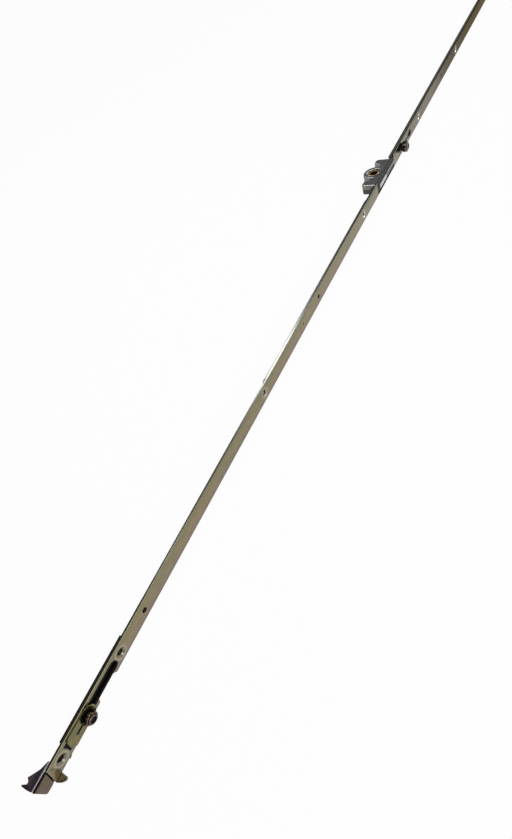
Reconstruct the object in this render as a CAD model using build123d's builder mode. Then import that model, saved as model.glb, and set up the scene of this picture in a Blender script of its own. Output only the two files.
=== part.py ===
from build123d import *
import os
from math import acos, cos, degrees, pi, radians, sin, tan

# Window espagnolette gearbox, in millimetres.
# The origin is on the spindle axis at the middle of the gearbox's thickness.
# +X points to the front of the faceplate, +Y runs along the bar to its upper end,
# and +Z is the spindle axis. The drive rods stand at their lower end position.

# Faceplate
backset = 15.5
face_width = 16.0
face_thickness = 2.0
face_reach_down = 718.5
face_reach_up = 641.0
face_edge_rounding = 0.5
face_end_skew = 2.6

# Holes for the mounting screws, and the heights where they sit
screw_hole_radius = 2.2
countersink_radius = 4.0
countersink_angle = 100.0
end_screw_rise = 11.0
low_screw_rise = 84.1
second_screw_y = -378.5
near_screw_y = -85.3
above_screw_y = 155.0
far_screw_y = 374.7
punch_hole_y = -281.0
punch_hole_radius = 1.1
punch_spot_y = 128.0
punch_spot_radius = 1.2

# Follower pinion, with a square socket for the handle's spindle
tooth_module = 1.0
tooth_count = 22
pressure_angle = radians(20)
tooth_backlash = 0.08
pinion_width = 8.0
journal_length = 1.0
journal_radius = 8.45
dedendum = 1.25 * tooth_module
flank_steps = 5
tooth_foot = 0.3
spindle_square = 7.0

# Gearbox shells
case_thickness = 13.0
case_wall_to_teeth = 0.25
boss_wall = 1.25
case_half_length = 31.5
lug_reach = 6.5
lug_tip_width = 10.0
notch_floor_x = 3.3
notch_floor_width = 3.8
lug_corner_radius = 4.0
case_rounding = 1.6
lip_rounding = 3.5
lip_lower_z = -4.2
lip_overrun = 5.2
case_rivet_radius = 1.5
case_rivet_x = 0.5
case_rivet_y = 26.5
rim_chamfer = 0.8
notch_rim = 0.9
bridge_width = 1.5
bridge_rim = 1.0

# Drive rods
rod_thickness = 2.0
wide_rod_width = 15.0
narrow_rod_width = 9.6
rod_slot_width = 4.8
rod_slot_play = 0.4
lap_y = -367.0
lap_length = 38.0
joggle_length = 5.0
rod_end_gap = 40.0
middle_rod_gap = 1.0
upper_rod_gap = 1.5
rod_rivet_inset = 4.5
lap_rivet_inset = 10.0
joggle_gap = 1.0

# Rack and its rivets
rack_width = 8.0
rack_front_gap = 0.1
rack_tongue_length = 16.0
rack_tongue_overlap = 2.0
rack_end_gap = 0.5
teeth_above = 2
rivet_radius = 1.6
rivet_head_radius = 2.6
rivet_head_height = 0.7
rivet_spacing = 7.0

# Rod guides, one at each peg hole
peg_radius = 2.35
peg_recess = 0.4
guide_width = 6.4
guide_length = 14.0
guide_thickness = 1.4
guide_rounding = 1.5
low_guide_rise = 117.4
middle_guide_y = -237.6
far_guide_y = 283.6

# Lower window, its tray and the carriage that slides over it
window_rise = 17.0
window_length = 61.5
window_width = 9.6
window_center_z = 0.35
rim_gap_rise = 33.5
rim_gap_length = 20.4
rim_gap_slant = 1.0
tray_recess = 0.2
tray_flange_width = 14.4
tray_flange_thickness = 1.4
tray_flange_inset = 1.7
tray_length = 77.0
tray_wall = 0.8
tray_end_gap = 0.5
tray_channel_end = 3.0
neck_slot_inset = 3.5
neck_slot_play = 0.3
carriage_width = 13.2
carriage_center_z = 0.3
carriage_thickness = 1.5
carriage_top_rise = 7.75
carriage_tail = 21.15
carriage_shoulder = 2.3
carriage_bevel = 1.6
carriage_slit_length = 6.7
carriage_slit_width = 1.5
carriage_slit_drop = 9.1
carriage_corner_radius = 6.0
carriage_tail_radius = 1.5
neck_width = 5.0
neck_tail = 4.75

# Locking cams
lower_cam_rise = 23.0
upper_cam_y = 72.5
cam_slot_top_y = 116.3
cam_slot_width = 7.6
cam_head_thickness = 1.1
cam_neck_radius = 2.7
cam_rivet_radius = 1.6
cam_key_depth = 2.2
cam_rounding = 0.6
lower_cam_reach = 7.6
lower_head_radius = 3.9
lower_key_size = 4.6
lower_washer_radius = 6.2
lower_washer_thickness = 1.4
lower_roller_radius = 4.9
washer_rib_count = 18
washer_rib_radius = 0.45
upper_cam_reach = 9.1
upper_head_radius = 5.3
upper_key_size = 5.0
upper_collar_radius = 5.0
upper_collar_thickness = 2.4
upper_collar_chamfer = 0.4
upper_roller_radius = 7.0

# End bracket
bracket_thickness = 1.5
bracket_drop = 10.5
bracket_overlap = 16.5
bracket_bend_radius = 1.4
bracket_edge_inset = 2.0
bracket_front_inset = 1.5
bracket_front_gap = 0.9
bracket_corner_radius = 2.0
bracket_rim_rounding = 0.5
bracket_tab_reach = 5.8
bracket_tab_length = 6.1
bracket_tab_rise = 7.6
bracket_tab_rounding = 1.3
bracket_tab_tip = 2.1
bracket_tab_heel = 3.3
bracket_heel_rise = 1.6
bracket_tab_bend = 1.0
bracket_web_rise = 18.2
# The web's profile from its top to its foot: how far behind the faceplate's back, how far up
bracket_web_profile = (
    (1.5, bracket_web_rise),
    (2.8, 14.6),
    (3.8, 12.1),
    (9.6, 4.4),
    (7.6, 3.1),
    (7.2, 1.5),
    (10.9, -0.6),
    (10.5, -1.4),
    (5.6, -1.1),
    (2.3, -0.6),
)
bracket_rivet_radius = 1.25
bracket_rivet_rise = 4.4
bracket_rivet_spacing = 8.0
bracket_ear_length = 4.0
bracket_ear_rise = 22.4
bracket_ear_tip = 1.7

# Fits
running_gap = 0.05
sliding_gap = 0.1

# Sizes that follow from the ones above
face_bottom_y = -face_reach_down
face_back_x = backset - face_thickness
rod_back_x = face_back_x - rod_thickness
lap_back_x = rod_back_x - rod_thickness
pitch_radius = tooth_module * tooth_count / 2
tip_radius = pitch_radius + tooth_module
root_radius = pitch_radius - dedendum
stroke = pi * pitch_radius
case_half = case_thickness / 2
cavity_half = pinion_width / 2 + sliding_gap
cavity_radius = tip_radius + case_wall_to_teeth
boss_radius = cavity_radius + boss_wall
channel_back_x = lap_back_x - sliding_gap
channel_front_x = face_back_x - running_gap
window_bottom_y = face_bottom_y + window_rise
lower_cam_y = window_bottom_y + lower_cam_rise
low_screw_y = face_bottom_y + low_screw_rise
end_screw_y = face_bottom_y + end_screw_rise
low_guide_y = face_bottom_y + low_guide_rise
tray_top_y = window_bottom_y + tray_length
bracket_bottom_y = face_bottom_y - bracket_drop
middle_rod_top_y = -case_half_length - stroke - middle_rod_gap
upper_rod_bottom_y = case_half_length + upper_rod_gap
upper_rod_top_y = face_reach_up - rod_end_gap
carriage_front_x = backset + running_gap + carriage_thickness
lower_head_x = backset + lower_cam_reach - cam_head_thickness
upper_head_x = backset + upper_cam_reach - cam_head_thickness
screw_ys = (end_screw_y, low_screw_y, second_screw_y, near_screw_y, above_screw_y, far_screw_y)
guide_ys = (low_guide_y, middle_guide_y, far_guide_y)
middle_rod_rivet_y = middle_rod_top_y - rod_rivet_inset
middle_rod_rivet_ys = (middle_rod_rivet_y, middle_rod_rivet_y - rivet_spacing)
upper_rod_rivet_y = upper_rod_bottom_y + rod_rivet_inset
upper_rod_rivet_ys = (upper_rod_rivet_y, upper_rod_rivet_y + rivet_spacing)
lap_rivet_ys = (lap_y + lap_rivet_inset, lap_y + lap_length - lap_rivet_inset)

# On these planes the first direction runs along the bar and the second one up the spindle
front_plane = Plane(origin=(backset, 0, 0), x_dir=(0, 1, 0), z_dir=(1, 0, 0))
face_back_plane = Plane(origin=(face_back_x, 0, 0), x_dir=(0, 1, 0), z_dir=(1, 0, 0))
rod_back_plane = Plane(origin=(rod_back_x, 0, 0), x_dir=(0, 1, 0), z_dir=(1, 0, 0))
lap_back_plane = Plane(origin=(lap_back_x, 0, 0), x_dir=(0, 1, 0), z_dir=(1, 0, 0))


def plane_at(x):
    """The plane across the spindle's X axis at this height over the spindle."""
    return Plane(origin=(x, 0, 0), x_dir=(0, 1, 0), z_dir=(1, 0, 0))


def slot_span(y):
    """Ends of a rod's slot round a fixed peg or screw, whose rod moves up by the stroke."""
    end_play = rod_slot_width / 2 + rod_slot_play
    return y - stroke - end_play, y + end_play


def involute(angle):
    """The involute function of a pressure angle."""
    return tan(angle) - angle


def flank_half_angle(radius):
    """Half of the angle that a pinion tooth takes at this radius."""
    local_angle = acos(min(1, pitch_radius * cos(pressure_angle) / radius))
    pitch_half_angle = (pi * tooth_module / 2 - tooth_backlash) / 2 / pitch_radius
    return pitch_half_angle + involute(pressure_angle) - involute(local_angle)


def is_circle(edge, radius):
    """Whether an edge is an arc of this radius."""
    return edge.geom_type == GeomType.CIRCLE and abs(edge.radius - radius) < 0.01


def tooth_points():
    """Outline of one pinion tooth about the +X axis, from root to tip and back."""
    base_radius = pitch_radius * cos(pressure_angle)
    flank_step = (tip_radius - base_radius) / flank_steps
    radii = [base_radius + flank_step * i for i in range(flank_steps + 1)]
    radii.insert(0, root_radius - tooth_foot)
    rising = [(r * cos(flank_half_angle(r)), r * sin(flank_half_angle(r))) for r in radii]
    falling = [(x, -y) for x, y in reversed(rising)]
    return rising + falling


# Faceplate: the long strip with all of the holes
with BuildPart() as faceplate:
    with BuildSketch(front_plane):
        # The lower end is cut at a slant
        Polygon(
            (face_bottom_y + face_end_skew, face_width / 2),
            (face_reach_up, face_width / 2),
            (face_reach_up, -face_width / 2),
            (face_bottom_y - face_end_skew, -face_width / 2),
            align=None,
        )
    extrude(amount=-face_thickness)
    front_edges = faceplate.edges().filter_by(Axis.Y).group_by(Axis.X)[-1]
    fillet(front_edges, face_edge_rounding)
    with BuildSketch(front_plane):
        # Lower window, rounded at its upper end, with a gap in its rim
        with Locations((window_bottom_y, window_center_z)):
            Rectangle(window_length - window_width / 2, window_width, align=(Align.MIN, Align.CENTER))
        with Locations((window_bottom_y + window_length - window_width / 2, window_center_z)):
            Circle(window_width / 2)
        window_right_z = window_center_z - window_width / 2
        gap_bottom_y = window_bottom_y + rim_gap_rise
        gap_top_y = gap_bottom_y + rim_gap_length
        Polygon(
            (gap_bottom_y - rim_gap_slant, -face_width / 2),
            (gap_bottom_y + rim_gap_slant, window_right_z),
            (gap_bottom_y + rim_gap_slant, window_center_z),
            (gap_top_y - rim_gap_slant, window_center_z),
            (gap_top_y - rim_gap_slant, window_right_z),
            (gap_top_y + rim_gap_slant, -face_width / 2),
            align=None,
        )
        # Slot of the upper cam
        slot_bottom_y = upper_cam_y - cam_slot_width / 2 - rod_slot_play
        with Locations(((slot_bottom_y + cam_slot_top_y) / 2, 0)):
            SlotOverall(cam_slot_top_y - slot_bottom_y, cam_slot_width)
        # Peg holes and the small punched holes
        with Locations(*[(y, 0) for y in guide_ys]):
            Circle(peg_radius + running_gap)
        with Locations((punch_hole_y, 0)):
            Circle(punch_hole_radius)
        with Locations((punch_spot_y, 0)):
            Circle(punch_spot_radius)
        # Notch for the gearbox, open to the spindle's upper side
        with Locations((-case_half_length, -face_width / 2 + notch_rim)):
            Rectangle(2 * case_half_length + lip_overrun, face_width, align=(Align.MIN, Align.MIN))
        # Rivets of the end bracket
        with Locations((face_bottom_y + bracket_rivet_rise, 0)):
            with GridLocations(1, bracket_rivet_spacing, 1, 2):
                Circle(bracket_rivet_radius)
    extrude(amount=-face_thickness, mode=Mode.SUBTRACT)
    with Locations(*[front_plane.location * Location((y, 0, 0)) for y in screw_ys]):
        CounterSinkHole(screw_hole_radius, countersink_radius, face_thickness, countersink_angle)
faceplate.part.label = "faceplate"

# Outline of the gearbox seen along the spindle: a round boss, a straight back and two lugs
with BuildSketch() as lug_outline:
    notch_outer_y = boss_radius + notch_floor_width
    Polygon(
        (notch_floor_x, notch_outer_y),
        (-lug_reach, case_half_length - lug_tip_width),
        (-lug_reach, case_half_length),
        (face_back_x, case_half_length),
        (face_back_x, notch_outer_y),
        align=None,
    )
    fillet(lug_outline.vertices().sort_by(Axis.X)[:2], lug_corner_radius)
with BuildSketch() as case_outline:
    Circle(boss_radius)
    with Locations((notch_floor_x, 0)):
        Rectangle(face_back_x - notch_floor_x, 2 * case_half_length, align=(Align.MIN, Align.CENTER))
    add(lug_outline.sketch)
    mirror(lug_outline.sketch, about=Plane.XZ)
with BuildSketch() as lip_outline:
    with Locations((face_back_x, -case_half_length)):
        Rectangle(face_thickness, 2 * case_half_length + lip_overrun, align=(Align.MIN, Align.MIN))

# Upper gearbox shell, with the upper half of the lip that fills the faceplate's notch
with BuildPart() as case_upper:
    with BuildSketch(Plane.XY):
        add(case_outline.sketch)
        add(lip_outline.sketch)
    extrude(amount=case_half)
    lip_edge = case_upper.edges().group_by(Axis.Z)[-1].sort_by(Axis.X)[-1]
    fillet(lip_edge, lip_rounding)
    top_face = case_upper.faces().sort_by(Axis.Z)[-1]
    fillet(top_face.edges().filter_by(lambda e: e.center().X < face_back_x - lip_rounding), case_rounding)
    with BuildSketch(Plane.XY):
        Circle(cavity_radius)
    extrude(amount=cavity_half, mode=Mode.SUBTRACT)
    with BuildSketch(Plane.XY):
        with Locations((channel_back_x, 0)):
            Rectangle(
                channel_front_x - channel_back_x, 2 * case_half_length, align=(Align.MIN, Align.CENTER)
            )
    extrude(amount=cavity_half, mode=Mode.SUBTRACT)
    with BuildSketch(Plane.XY):
        Circle(journal_radius + running_gap)
        with Locations(*[(case_rivet_x, side * case_rivet_y) for side in (1, -1)]):
            Circle(case_rivet_radius)
    extrude(amount=case_half, mode=Mode.SUBTRACT)
    bore_rims = case_upper.edges().filter_by(lambda e: is_circle(e, journal_radius + running_gap))
    chamfer(bore_rims.sort_by(Axis.Z)[-1], rim_chamfer)
case_upper.part.label = "case_upper"

# Lower gearbox shell, whose narrow bridge crosses to the faceplate's thin rim
with BuildPart() as case_lower:
    with BuildSketch(Plane.XY):
        add(case_outline.sketch)
    extrude(amount=-case_half)
    fillet(case_lower.faces().sort_by(Axis.Z)[0].edges(), case_rounding)
    with BuildSketch(Plane.XY):
        add(lip_outline.sketch)
    extrude(amount=lip_lower_z)
    with BuildSketch(Plane.XY):
        with Locations((face_back_x, 0)):
            Rectangle(face_thickness, bridge_width, align=(Align.MIN, Align.CENTER))
    extrude(amount=-face_width / 2 + bridge_rim)
    with BuildSketch(Plane.XY):
        Circle(cavity_radius)
    extrude(amount=-cavity_half, mode=Mode.SUBTRACT)
    with BuildSketch(Plane.XY):
        with Locations((channel_back_x, 0)):
            Rectangle(
                channel_front_x - channel_back_x, 2 * case_half_length, align=(Align.MIN, Align.CENTER)
            )
    extrude(amount=-cavity_half, mode=Mode.SUBTRACT)
    with BuildSketch(Plane.XY):
        Circle(journal_radius + running_gap)
        with Locations(*[(case_rivet_x, side * case_rivet_y) for side in (1, -1)]):
            Circle(case_rivet_radius)
    extrude(amount=-case_half, mode=Mode.SUBTRACT)
case_lower.part.label = "case_lower"

# Rivets that close the two shells, flush with both
with BuildPart() as case_rivets:
    with BuildSketch(Plane.XY.offset(-case_half)):
        with Locations(*[(case_rivet_x, side * case_rivet_y) for side in (1, -1)]):
            Circle(case_rivet_radius)
    extrude(amount=case_thickness)
case_rivets.part.label = "case_rivets"

# Follower pinion: toothed wheel between two journals, with the spindle's square socket
with BuildPart() as follower_pinion:
    with BuildSketch(Plane.XY.offset(-pinion_width / 2)):
        Circle(root_radius)
        half_pitch_angle = 180.0 / tooth_count
        with PolarLocations(0, tooth_count, start_angle=half_pitch_angle):
            Polygon(*tooth_points(), align=None)
    extrude(amount=pinion_width)
    with BuildSketch(Plane.XY.offset(-pinion_width / 2 - journal_length)):
        Circle(journal_radius)
    extrude(amount=pinion_width + 2 * journal_length)
    with BuildSketch(Plane.XY.offset(-case_half)):
        Rectangle(spindle_square, spindle_square)
    extrude(amount=case_thickness, mode=Mode.SUBTRACT)
follower_pinion.part.label = "follower_pinion"

# Rack: a toothed bar in the gearbox's channel, with a tongue behind each rod
with BuildPart() as rack:
    rack_front_x = face_back_x - rack_front_gap
    rack_pitch = pi * tooth_module
    rack_root_x = pitch_radius + dedendum
    rack_tip_x = pitch_radius - tooth_module
    teeth_below = (tooth_count + 1) // 2 + teeth_above
    teeth_top_y = (teeth_above + 0.5) * rack_pitch
    teeth_bottom_y = -(teeth_below + 0.5) * rack_pitch
    rack_top_y = upper_rod_bottom_y - rack_end_gap
    rack_bottom_y = middle_rod_top_y + rack_end_gap
    with BuildSketch(Plane.XY.offset(-rack_width / 2)):
        with Locations((rack_front_x, rack_bottom_y)):
            Rectangle(
                rack_front_x - rack_root_x, rack_top_y - rack_bottom_y, align=(Align.MAX, Align.MIN)
            )
        with Locations((rack_root_x, rack_bottom_y)):
            Rectangle(
                rack_root_x - rack_tip_x, teeth_bottom_y - rack_bottom_y, align=(Align.MAX, Align.MIN)
            )
        with Locations((rack_root_x, teeth_top_y)):
            Rectangle(rack_root_x - rack_tip_x, rack_top_y - teeth_top_y, align=(Align.MAX, Align.MIN))
        tongue_length = rack_tongue_length + rack_tongue_overlap
        with Locations((lap_back_x, rack_top_y - rack_tongue_overlap)):
            Rectangle(rod_thickness, tongue_length, align=(Align.MIN, Align.MIN))
        with Locations((lap_back_x, rack_bottom_y + rack_tongue_overlap)):
            Rectangle(rod_thickness, tongue_length, align=(Align.MIN, Align.MAX))
        half_at_pitch = (rack_pitch / 2 - tooth_backlash) / 2
        half_at_root = half_at_pitch + (rack_root_x - pitch_radius) * tan(pressure_angle)
        half_at_tip = half_at_pitch - tooth_module * tan(pressure_angle)
        with Locations(*[(0, i * rack_pitch) for i in range(-teeth_below, teeth_above + 1)]):
            Polygon(
                (rack_root_x, -half_at_root),
                (rack_root_x, half_at_root),
                (rack_tip_x, half_at_tip),
                (rack_tip_x, -half_at_tip),
                align=None,
            )
    extrude(amount=rack_width)
    with BuildSketch(lap_back_plane):
        with Locations(*[(y, 0) for y in middle_rod_rivet_ys + upper_rod_rivet_ys]):
            Circle(rivet_radius)
    extrude(amount=rod_thickness, mode=Mode.SUBTRACT)
rack.part.label = "rack"

# Narrow lower rod, from the carriage to the lap behind the middle rod
with BuildPart() as lower_rod:
    lower_rod_bottom_y = lower_cam_y - neck_tail
    lower_rod_top_y = lap_y + lap_length
    with BuildSketch(Plane.XY.offset(-narrow_rod_width / 2)):
        joggle_top_y = lap_y - joggle_gap
        joggle_bottom_y = joggle_top_y - joggle_length
        Polygon(
            (face_back_x, lower_rod_bottom_y),
            (face_back_x, joggle_bottom_y),
            (rod_back_x, joggle_top_y),
            (rod_back_x, lower_rod_top_y),
            (lap_back_x, lower_rod_top_y),
            (lap_back_x, joggle_top_y),
            (rod_back_x, joggle_bottom_y),
            (rod_back_x, lower_rod_bottom_y),
            align=None,
        )
    extrude(amount=narrow_rod_width)
    with BuildSketch(face_back_plane):
        # One long slot clears the low screw and the low guide, and one the second screw
        long_slot = (slot_span(low_screw_y)[0], slot_span(low_guide_y)[1])
        for bottom_y, top_y in (long_slot, slot_span(second_screw_y)):
            with Locations(((bottom_y + top_y) / 2, 0)):
                SlotOverall(top_y - bottom_y, rod_slot_width)
        with Locations((lower_cam_y, 0)):
            Circle(cam_rivet_radius)
        with Locations(*[(y, 0) for y in lap_rivet_ys]):
            Circle(rivet_radius)
    extrude(amount=-2 * rod_thickness, mode=Mode.SUBTRACT)
lower_rod.part.label = "lower_rod"

# Wide middle rod, from the lap to the gearbox
with BuildPart() as middle_rod:
    with BuildSketch(face_back_plane):
        with Locations((lap_y, 0)):
            Rectangle(middle_rod_top_y - lap_y, wide_rod_width, align=(Align.MIN, Align.CENTER))
        for bottom_y, top_y in (slot_span(middle_guide_y), slot_span(near_screw_y)):
            with Locations(((bottom_y + top_y) / 2, 0)):
                SlotOverall(top_y - bottom_y, rod_slot_width, mode=Mode.SUBTRACT)
        with Locations(*[(y, 0) for y in lap_rivet_ys + middle_rod_rivet_ys]):
            Circle(rivet_radius, mode=Mode.SUBTRACT)
    extrude(amount=-rod_thickness)
middle_rod.part.label = "middle_rod"

# Wide upper rod, from the gearbox to the far end
with BuildPart() as upper_rod:
    with BuildSketch(face_back_plane):
        with Locations((upper_rod_bottom_y, 0)):
            Rectangle(
                upper_rod_top_y - upper_rod_bottom_y, wide_rod_width, align=(Align.MIN, Align.CENTER)
            )
        for y in (above_screw_y, far_guide_y, far_screw_y):
            bottom_y, top_y = slot_span(y)
            with Locations(((bottom_y + top_y) / 2, 0)):
                SlotOverall(top_y - bottom_y, rod_slot_width, mode=Mode.SUBTRACT)
        with Locations((upper_cam_y, 0)):
            Circle(cam_rivet_radius, mode=Mode.SUBTRACT)
        with Locations(*[(y, 0) for y in upper_rod_rivet_ys]):
            Circle(rivet_radius, mode=Mode.SUBTRACT)
    extrude(amount=-rod_thickness)
upper_rod.part.label = "upper_rod"

# Rivets through a pair of strips, flush in front and with a low head behind
with BuildPart() as rack_rivets:
    with BuildSketch(face_back_plane):
        with Locations(*[(y, 0) for y in middle_rod_rivet_ys + upper_rod_rivet_ys]):
            Circle(rivet_radius)
    extrude(amount=-2 * rod_thickness)
    with BuildSketch(lap_back_plane):
        with Locations(*[(y, 0) for y in middle_rod_rivet_ys + upper_rod_rivet_ys]):
            Circle(rivet_head_radius)
    extrude(amount=-rivet_head_height)
rack_rivets.part.label = "rack_rivets"

with BuildPart() as lap_rivets:
    with BuildSketch(face_back_plane):
        with Locations(*[(y, 0) for y in lap_rivet_ys]):
            Circle(rivet_radius)
    extrude(amount=-2 * rod_thickness)
    with BuildSketch(lap_back_plane):
        with Locations(*[(y, 0) for y in lap_rivet_ys]):
            Circle(rivet_head_radius)
    extrude(amount=-rivet_head_height)
lap_rivets.part.label = "lap_rivets"

# Rod guides: a round peg through the faceplate and the rod's slot, with a flange behind the rod
with BuildPart() as rod_guides:
    with BuildSketch(face_back_plane):
        with Locations(*[(y, 0) for y in guide_ys]):
            Circle(peg_radius)
    extrude(amount=face_thickness - peg_recess)
    with BuildSketch(face_back_plane):
        with Locations(*[(y, 0) for y in guide_ys]):
            Circle(rod_slot_width / 2 - sliding_gap)
    extrude(amount=-rod_thickness - sliding_gap)
    with BuildSketch(plane_at(rod_back_x - sliding_gap)):
        with Locations(*[(y, 0) for y in guide_ys]):
            RectangleRounded(guide_length, guide_width, guide_rounding)
    extrude(amount=-guide_thickness)
rod_guides.part.label = "rod_guides"

# Carriage tray: a plug that fills the window, a flange under the faceplate and a channel behind
with BuildPart() as carriage_tray:
    channel_width = narrow_rod_width + 2 * sliding_gap
    tray_bottom_y = window_bottom_y + tray_end_gap
    flange_bottom_y = tray_bottom_y + tray_flange_inset
    tray_back_x = rod_back_x - sliding_gap - tray_wall
    with BuildSketch(face_back_plane):
        with Locations((flange_bottom_y, 0)):
            Rectangle(tray_top_y - flange_bottom_y, tray_flange_width, align=(Align.MIN, Align.CENTER))
    extrude(amount=-tray_flange_thickness)
    with BuildSketch(plane_at(tray_back_x)):
        with Locations((flange_bottom_y, 0)):
            Rectangle(
                tray_top_y - flange_bottom_y, channel_width + 2 * tray_wall, align=(Align.MIN, Align.CENTER)
            )
    extrude(amount=face_back_x - tray_back_x)
    with BuildSketch(face_back_plane):
        with Locations((tray_bottom_y, window_center_z)):
            Rectangle(
                window_bottom_y + window_length - window_width / 2 - tray_bottom_y,
                window_width - 2 * running_gap,
                align=(Align.MIN, Align.CENTER),
            )
        with Locations((window_bottom_y + window_length - window_width / 2, window_center_z)):
            Circle(window_width / 2 - running_gap)
    extrude(amount=face_thickness - tray_recess)
    with BuildSketch(face_back_plane):
        # The rod's channel is closed at its lower end
        channel_bottom_y = lower_cam_y - neck_tail - tray_channel_end
        with Locations((channel_bottom_y, 0)):
            Rectangle(tray_top_y - channel_bottom_y, channel_width, align=(Align.MIN, Align.CENTER))
    extrude(amount=-rod_thickness - sliding_gap, mode=Mode.SUBTRACT)
    with BuildSketch(plane_at(backset)):
        # Slot for the carriage's neck
        neck_slot_width = neck_width + 2 * sliding_gap
        neck_slot_bottom_y = window_bottom_y + neck_slot_inset
        neck_slot_top_y = lower_cam_y + stroke + neck_width / 2 + neck_slot_play
        with Locations(((neck_slot_bottom_y + neck_slot_top_y) / 2, 0)):
            SlotOverall(neck_slot_top_y - neck_slot_bottom_y, neck_slot_width)
    extrude(amount=-face_thickness, mode=Mode.SUBTRACT)
    with BuildSketch(plane_at(tray_back_x)):
        with Locations((low_screw_y, 0)):
            Circle(screw_hole_radius)
    extrude(amount=tray_wall, mode=Mode.SUBTRACT)
carriage_tray.part.label = "carriage_tray"

# Carriage plate, with the neck that reaches through the tray's slot to the lower rod
with BuildPart() as carriage_plate:
    carriage_left_z = carriage_center_z + carriage_width / 2
    carriage_right_z = carriage_center_z - carriage_width / 2
    with BuildSketch(plane_at(backset + running_gap)):
        with BuildLine():
            Polyline(
                (lower_cam_y - carriage_tail + carriage_shoulder, carriage_left_z - carriage_bevel),
                (lower_cam_y - carriage_tail + 2 * carriage_shoulder, carriage_left_z),
                (lower_cam_y + carriage_top_rise, carriage_left_z),
                (lower_cam_y + carriage_top_rise, carriage_right_z),
                (lower_cam_y - carriage_tail + carriage_shoulder, carriage_right_z),
                (lower_cam_y - carriage_tail, carriage_center_z - carriage_shoulder),
                close=True,
            )
        make_face()
    extrude(amount=carriage_thickness)
    upright_edges = carriage_plate.edges().filter_by(Axis.X).sort_by(Axis.Y)
    fillet(upright_edges[-2:], carriage_corner_radius)
    fillet(carriage_plate.edges().filter_by(Axis.X).sort_by(Axis.Y)[:3], carriage_tail_radius)
    with BuildSketch(face_back_plane):
        with Locations((lower_cam_y, 0)):
            Circle(neck_width / 2)
            Rectangle(neck_tail, neck_width, align=(Align.MAX, Align.CENTER))
    extrude(amount=face_thickness + running_gap)
    with BuildSketch(plane_at(carriage_front_x)):
        with Locations((lower_cam_y, 0)):
            Circle(cam_rivet_radius)
        with Locations((lower_cam_y - carriage_slit_drop, carriage_center_z)):
            SlotOverall(carriage_slit_length, carriage_slit_width)
    extrude(amount=-carriage_thickness - face_thickness - running_gap, mode=Mode.SUBTRACT)
carriage_plate.part.label = "carriage_plate"

# Lower cam: a ribbed washer, a roller and the pin that is riveted in the carriage and the rod
with BuildPart() as lower_cam_washer:
    with BuildSketch(plane_at(carriage_front_x)):
        with Locations((lower_cam_y, 0)):
            Circle(lower_washer_radius)
            Circle(cam_neck_radius, mode=Mode.SUBTRACT)
            with PolarLocations(lower_washer_radius, washer_rib_count):
                Circle(washer_rib_radius, mode=Mode.SUBTRACT)
    extrude(amount=lower_washer_thickness)
lower_cam_washer.part.label = "lower_cam_washer"

lower_roller_x = carriage_front_x + lower_washer_thickness + sliding_gap
with BuildPart() as lower_cam_roller:
    with BuildSketch(plane_at(lower_roller_x)):
        with Locations((lower_cam_y, 0)):
            Circle(lower_roller_radius)
            Circle(cam_neck_radius + running_gap, mode=Mode.SUBTRACT)
    extrude(amount=lower_head_x - sliding_gap - lower_roller_x)
    outer_rims = lower_cam_roller.edges().filter_by(GeomType.CIRCLE).sort_by(SortBy.RADIUS)[-2:]
    fillet(outer_rims, cam_rounding)
lower_cam_roller.part.label = "lower_cam_roller"

with BuildPart() as lower_cam_pin:
    with BuildSketch(rod_back_plane):
        with Locations((lower_cam_y, 0)):
            Circle(cam_rivet_radius)
    extrude(amount=carriage_front_x - rod_back_x)
    with BuildSketch(plane_at(carriage_front_x)):
        with Locations((lower_cam_y, 0)):
            Circle(cam_neck_radius)
    extrude(amount=lower_head_x - carriage_front_x)
    with BuildSketch(plane_at(lower_head_x)):
        with Locations((lower_cam_y, 0)):
            Circle(lower_head_radius)
    extrude(amount=cam_head_thickness)
    head_rim = lower_cam_pin.edges().filter_by(GeomType.CIRCLE).group_by(Axis.X)[-1]
    fillet(head_rim, cam_rounding)
    with BuildSketch(plane_at(backset + lower_cam_reach)):
        with Locations((lower_cam_y, 0)):
            RegularPolygon(lower_key_size / 2, 6, major_radius=False)
    extrude(amount=-cam_key_depth, mode=Mode.SUBTRACT)
lower_cam_pin.part.label = "lower_cam_pin"

# Upper cam: a collar, a roller and the pin that is riveted in the upper rod
upper_collar_x = backset + running_gap
with BuildPart() as upper_cam_collar:
    with BuildSketch(plane_at(upper_collar_x)):
        with Locations((upper_cam_y, 0)):
            Circle(upper_collar_radius)
            Circle(cam_neck_radius, mode=Mode.SUBTRACT)
    extrude(amount=upper_collar_thickness)
    collar_rim = upper_cam_collar.edges().filter_by(GeomType.CIRCLE).group_by(Axis.X)[-1]
    chamfer(collar_rim.sort_by(SortBy.RADIUS)[-1], upper_collar_chamfer)
upper_cam_collar.part.label = "upper_cam_collar"

upper_roller_x = upper_collar_x + upper_collar_thickness + sliding_gap
with BuildPart() as upper_cam_roller:
    with BuildSketch(plane_at(upper_roller_x)):
        with Locations((upper_cam_y, 0)):
            Circle(upper_roller_radius)
            Circle(cam_neck_radius + running_gap, mode=Mode.SUBTRACT)
    extrude(amount=upper_head_x - sliding_gap - upper_roller_x)
    outer_rims = upper_cam_roller.edges().filter_by(GeomType.CIRCLE).sort_by(SortBy.RADIUS)[-2:]
    fillet(outer_rims, cam_rounding)
upper_cam_roller.part.label = "upper_cam_roller"

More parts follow.
